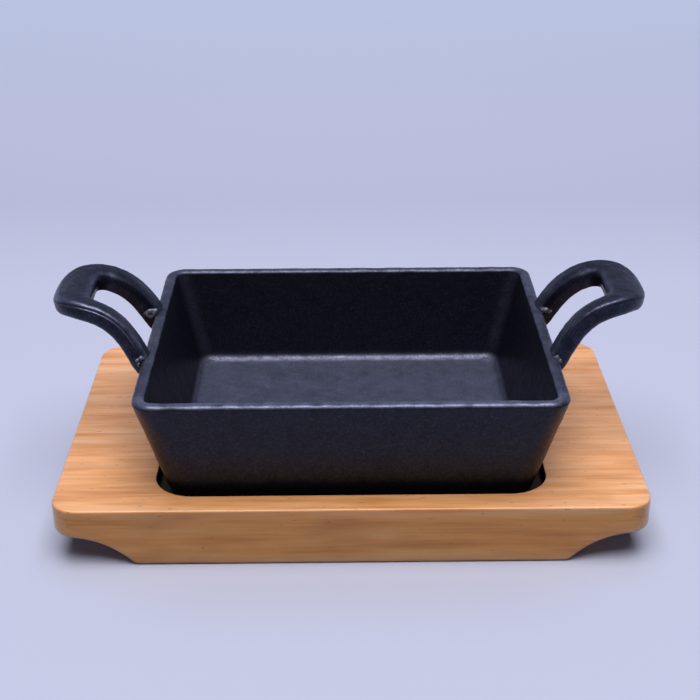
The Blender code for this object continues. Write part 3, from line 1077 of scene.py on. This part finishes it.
@dataclass
class WoodenBoard:
    """The board: nested outlines from its underside, round its edges, into the recess."""

    finish: VarnishedWood
    length: float = 0.224
    depth: float = 0.145
    thickness: float = 0.0234
    corner: float = 0.010
    top_edge: float = 0.0009
    under_edge: float = 0.0012
    end_thickness: float = 0.0115
    cove_run: float = 0.0310
    cove_curve: float = 0.0262
    foot_ease: float = 0.0006
    recess_length: float = 0.1494
    recess_width: float = 0.1239
    recess_depth: float = 0.005
    recess_corner: float = 0.015
    recess_edge: float = 0.0003
    recess_fillet: float = 0.0008
    core_ring: float = 0.0030
    cove_ring: float = 0.0020
    core: float = 0.0010
    core_corner: float = 0.0004
    recess_shade_share: float = 0.97
    recess_shade_below: float = 0.0002
    core_rings: int = 5
    cove_rings: int = 27
    edge_rings: int = 8
    side_rings: int = 5
    wall_shares: tuple[float, ...] = (0.3, 0.6)
    top_shares: tuple[float, ...] = (0.01, 0.10, 0.30, 0.50, 0.70, 0.90, 0.99)
    plan: RingPlan = RingPlan(corner_steps=14, long_steps=190, short_steps=60)

    def underside(self, x: np.ndarray) -> np.ndarray:
        """Height of the underside at a place along the board.

        Level under the end, then an arc down to the foot. Where the arc meets the foot,
        the mean of it and its square root with the ease squared added rounds the edge.

        Args:
            x: Places along the board.

        Returns:
            Heights above the ground.
        """
        rise = self.thickness - self.end_thickness
        radius = (self.cove_curve**2 + rise**2) / (2 * rise)
        level_end = self.length / 2 - self.cove_run + self.cove_curve
        past = np.clip(level_end - np.abs(x), 0.0, 0.98 * radius)
        arc = rise - radius + np.sqrt(radius**2 - past**2)
        return (arc + np.sqrt(arc**2 + self.foot_ease**2)) / 2

    def quarter(self) -> np.ndarray:
        """Angles of a rounded edge's rings, over a quarter turn."""
        return np.radians(np.linspace(0, 90, self.edge_rings))

    def outside(self) -> tuple[np.ndarray, slice]:
        """Rings of the underside, the lower edge, the sides and the upper edge.

        Each is inset from the board's edge: the underside's from a core near the middle
        line, closely over the coves. Both edges are quarter circles, and the sides rise
        evenly between them.

        Returns:
            The rings, and which of them are the sides.
        """
        angle = self.quarter()
        inner, outer = self.cove_run + self.core_ring, self.cove_run + self.cove_ring
        core = np.linspace(self.depth / 2 - self.core, inner, self.core_rings)
        cove = np.linspace(outer, 1.5 * self.under_edge, self.cove_rings)
        under = np.concatenate([core, cove])
        below = self.under_edge * (1 - np.sin(angle))
        above = self.top_edge * (1 - np.cos(angle))
        inset = np.concatenate([under, below, np.zeros(self.side_rings), above])
        radius = self.corner - inset
        widest = self.corner - self.under_edge
        radius[: len(under)] = mix(widest, self.core_corner, under / under[0])
        length, depth = self.length - 2 * inset, self.depth - 2 * inset
        rings = self.plan.rings(length, depth, radius, np.zeros(len(inset)))
        height = self.underside(rings[..., 0])
        first = len(under) + len(angle)
        sides = slice(first, first + self.side_rings)
        shoulder = self.thickness - self.top_edge
        height[len(under) : first] += (self.under_edge * (1 - np.cos(angle)))[:, None]
        share = np.arange(1, self.side_rings + 1) / (self.side_rings + 1)
        height[sides] = mix(height[first - 1], shoulder, share[:, None])
        height[sides.stop :] = (shoulder + self.top_edge * np.sin(angle))[:, None]
        rings[..., 2] = height
        return rings, sides

    def recess(self) -> np.ndarray:
        """Rings from the recess's mouth, down its wall and on to its floor.

        The mouth and the foot of the wall are rounded by quarter circles.

        Returns:
            The rings.
        """
        angle = self.quarter()
        mouth = self.recess_edge * (1 - np.sin(angle))
        foot = self.recess_fillet * (1 - np.cos(angle))
        spread = np.concatenate([mouth, np.zeros(len(self.wall_shares)), -foot])
        drops = [
            self.recess_edge * (1 - np.cos(angle)),
            self.recess_depth * np.array(self.wall_shares),
            self.recess_depth - self.recess_fillet * (1 - np.sin(angle)),
        ]
        height = self.thickness - np.concatenate(drops)
        length, width = self.recess_length + 2 * spread, self.recess_width + 2 * spread
        return self.plan.rings(length, width, self.recess_corner + spread, height)

    def build(self) -> bpy.types.Object:
        """Join the outside to the recess across the top, and dress the board.

        The sides are marked for a painted shade tint, and the recess below its mouth is marked to
        be painted near black as painted shade.

        Returns:
            The board.
        """
        outside, sides = self.outside()
        recess = self.recess()
        top = mix(outside[-1], recess[0], np.array(self.top_shares)[:, None, None])
        rings = np.concatenate([outside, top, recess])
        side_shade, painted_recess_shade = np.zeros((2, *rings.shape[:2]))
        # Painted shade: the sides are marked for a redder, darker tint.
        side_shade[sides] = 1.0
        # Painted shade: the recess's wall and floor are marked to be painted near black.
        shaded_part = recess[..., 2] < self.thickness - self.recess_shade_below
        painted_recess_shade[-len(recess) :] = self.recess_shade_share * shaded_part
        wood = self.finish.material("board_varnished_wood")
        marks = {"side_shade": side_shade, "painted_recess_shade": painted_recess_shade}
        board = make_piece("board_routed", rings, marks, wood)
        seat(board, Body.BOARD, "wooden_board")
        return board


@dataclass(frozen=True)
class Softbox:
    """A soft rectangular lamp that faces the object."""

    name: str
    place: Triple
    size: Pair
    power: float
    colour: str

    def hang(self) -> None:
        """Hang the lamp, its width level and its back to the line from the object."""
        lamp = bpy.data.lights.new(self.name, "AREA")
        lamp.shape = "RECTANGLE"
        lamp.size, lamp.size_y = self.size
        lamp.energy = self.power
        lamp.color = linear(self.colour)[:3]
        softbox = bpy.data.objects.new(self.name, lamp)
        bpy.context.scene.collection.objects.link(softbox)
        softbox.rotation_euler = Vector(self.place).to_track_quat("Z", "Y").to_euler()
        softbox.location = self.place


@dataclass
class Studio:
    """Plain pale floor, soft light from above and the photograph's camera."""

    floor_colour: str = "#c2c9e6"
    # Painted shade of the floor where a sweep would rise.
    sweep_shade_colour: str = "#bac1df"
    far_colour: str = "#d0dcf9"
    bounce_colour: str = "#606369"
    horizon_colour: str = "#bcc5e5"
    room_pale: str = "#b2bbdc"
    room_dark: str = "#2b2c31"
    floor_half: float = 6.0
    floor_rough: float = 0.9
    floor_sheen: float = 0.2
    sweep: Triple = (0.20, 0.34, 1.0)
    haze_span: Span = (0.6, 1.3, 0.0, 1.0)
    behind_span: Span = (-0.05, 0.50, 0.0, 1.0)
    low_span: Span = (0.75, 0.05, 0.0, 1.0)
    key: Softbox = Softbox("overhead_softbox", (0.0, -0.45, 2.1), (1.8, 1.8), 52.0, "#fff9f2")
    back: Softbox = Softbox("back_softbox", (0.0, 1.05, 2.0), (1.8, 1.0), 9.0, "#dce4ff")
    lens: float = 72.0
    sensor: float = 36.0
    eye: Triple = (-0.0046, -0.5136, 0.2954)
    pitch: float = math.radians(25.15)
    yaw: float = math.radians(-0.53)
    roll: float = math.radians(-0.24)

    def build(self) -> None:
        """Lay the floor, light the room and place the camera."""
        self.lay_floor()
        self.key.hang()
        self.back.hang()
        self.paint_room()
        self.place_camera()
        bpy.context.scene.view_settings.view_transform = "Standard"

    def lay_floor(self) -> None:
        """Lay a large flat paper floor with a band painted a shade darker, as painted shade where
        a sweep would rise.

        The camera and reflections see its pale blue, and its soft light is neutral.
        Beyond the lamps' reach the camera sees it fade to the colour of the horizon, by a
        smooth step over the distance from the object.
        """
        half = self.floor_half
        corners = [(-half, -half, 0), (half, -half, 0), (half, half, 0), (-half, half, 0)]
        mesh = bpy.data.meshes.new("studio_floor")
        mesh.from_pydata(corners, [], [(0, 1, 2, 3)])
        floor = bpy.data.objects.new("studio_floor", mesh)
        bpy.context.scene.collection.objects.link(floor)
        material, tree, shader = new_material("studio_paper")
        place = add_node(tree, "TexCoord")["Object"]
        y = add_node(tree, "SeparateXYZ", {0: place})["Y"]
        stops = list(zip(self.sweep, (self.floor_colour, self.sweep_shade_colour, self.far_colour)))
        paper = add_node(tree, "ValToRGB", {"Fac": y}, stops)["Color"]
        rays = add_node(tree, "LightPath")
        either = {0: rays["Is Camera Ray"], 1: rays["Is Glossy Ray"]}
        seen = add_node(tree, "Math", either, operation="MAXIMUM")["Value"]
        shown = {"Factor": seen, "A": linear(self.bounce_colour), "B": paper}
        colour = add_node(tree, "Mix", shown, data_type="RGBA")["Result"]
        sheen = {"Roughness": self.floor_rough, "Specular IOR Level": self.floor_sheen}
        feed(tree, shader, {"Base Color": colour, **sheen})
        away = {"Value": add_node(tree, "VectorMath", {0: place}, operation="LENGTH")["Value"]}
        step = {"span": self.haze_span, "interpolation_type": "SMOOTHSTEP"}
        haze = add_node(tree, "MapRange", away, **step)["Result"]
        faded = {0: haze, 1: rays["Is Camera Ray"]}
        fade = add_node(tree, "Math", faded, operation="MULTIPLY")["Value"]
        glow = add_node(tree, "Emission", {"Color": linear(self.horizon_colour)})["Emission"]
        surface = add_node(tree, "MixShader", {0: fade, 1: shader.outputs["BSDF"], 2: glow})
        feed(tree, tree.nodes["Material Output"], {"Surface": surface["Shader"]})
        mesh.materials.append(material)

    def paint_room(self) -> None:
        """Paint the room pale behind the object and dark in front of it and overhead.

        The share of pale is a smooth step over the direction's Y times one over its Z.
        The camera sees the horizon's colour all round.
        """
        world = bpy.data.worlds.new("studio_room")
        world.use_nodes = True
        bpy.context.scene.world = world
        tree = world.node_tree
        tree.nodes.clear()
        way = add_node(tree, "SeparateXYZ", {0: add_node(tree, "TexCoord")["Generated"]})
        behind, low = (
            add_node(
                tree, "MapRange", {"Value": way[axis]}, span=span, interpolation_type="SMOOTHSTEP"
            )["Result"]
            for axis, span in (("Y", self.behind_span), ("Z", self.low_span))
        )
        pale = add_node(tree, "Math", {0: behind, 1: low}, operation="MULTIPLY")["Value"]
        walls = {"Factor": pale, "A": linear(self.room_dark), "B": linear(self.room_pale)}
        room = add_node(tree, "Mix", walls, data_type="RGBA")["Result"]
        seen = add_node(tree, "LightPath")["Is Camera Ray"]
        shown = {"Factor": seen, "A": room, "B": linear(self.horizon_colour)}
        colour = add_node(tree, "Mix", shown, data_type="RGBA")["Result"]
        glow = add_node(tree, "Background", {"Strength": 1.0, "Color": colour})["Background"]
        add_node(tree, "OutputWorld", {"Surface": glow})

    def place_camera(self) -> None:
        """Put the camera where the photograph was taken from, turned by pitch, yaw and roll."""
        lens = bpy.data.cameras.new("photograph_view")
        lens.lens = self.lens
        lens.sensor_width = self.sensor
        camera = bpy.data.objects.new("photograph_view", lens)
        bpy.context.scene.collection.objects.link(camera)
        camera.matrix_world = (
            Matrix.Translation(self.eye)
            @ Matrix.Rotation(self.yaw, 4, "Z")
            @ Matrix.Rotation(math.pi / 2 - self.pitch, 4, "X")
            @ Matrix.Rotation(self.roll, 4, "Z")
        )
        bpy.context.scene.camera = camera


def main() -> None:
    """Build the board, the dish, its handles, their lumps and the studio, in that order."""
    logging.basicConfig(level=logging.INFO, format="%(name)s: %(message)s")
    WoodenBoard(VarnishedWood()).build()
    dish = Dish(SeasonedCastIron())
    dish.build()
    smooth = SeasonedCastIron("#121626", "#1c2136", "#373c52", metallic=0.70, rough=0.40)
    LoopHandle(Side.LEFT, smooth, dish, seam_height=0.00040).build()
    LoopHandle(Side.RIGHT, smooth, dish, seam_height=0.00008, arris_highlight=0.4).build()
    wedge_left, wedge_right = (0.0031, 0.0021, 0.0019), (0.0032, 0.0019, 0.0016)
    bead, wide, tall = (0.0011, 0.0009, 0.0009), (0.0012, 0.0009, 0.0008), (0.0008, 0.0009, 0.0009)
    for lump in (
        (Side.LEFT, "rear_lump", (-0.0820, 0.0172, 0.0642), wedge_left, 44, 0.24, 0.0022),
        (Side.LEFT, "front_lump_1", (-0.0803, -0.0268, 0.0640), bead, 32),
        (Side.LEFT, "front_lump_2", (-0.0815, -0.0269, 0.0632), wide, 33),
        (Side.LEFT, "front_lump_3", (-0.0812, -0.0271, 0.0616), tall, 34),
        (Side.RIGHT, "rear_lump", (0.0819, 0.0174, 0.0640), wedge_right, 35, 0.1, 0.0030),
        (Side.RIGHT, "front_lump_1", (0.0796, -0.0273, 0.0632), bead, 36),
        (Side.RIGHT, "front_lump_2", (0.0808, -0.0271, 0.0617), bead, 37),
    ):
        FettledLump(*lump).build()
    Studio().build()


if __name__ == "__main__":
    main()
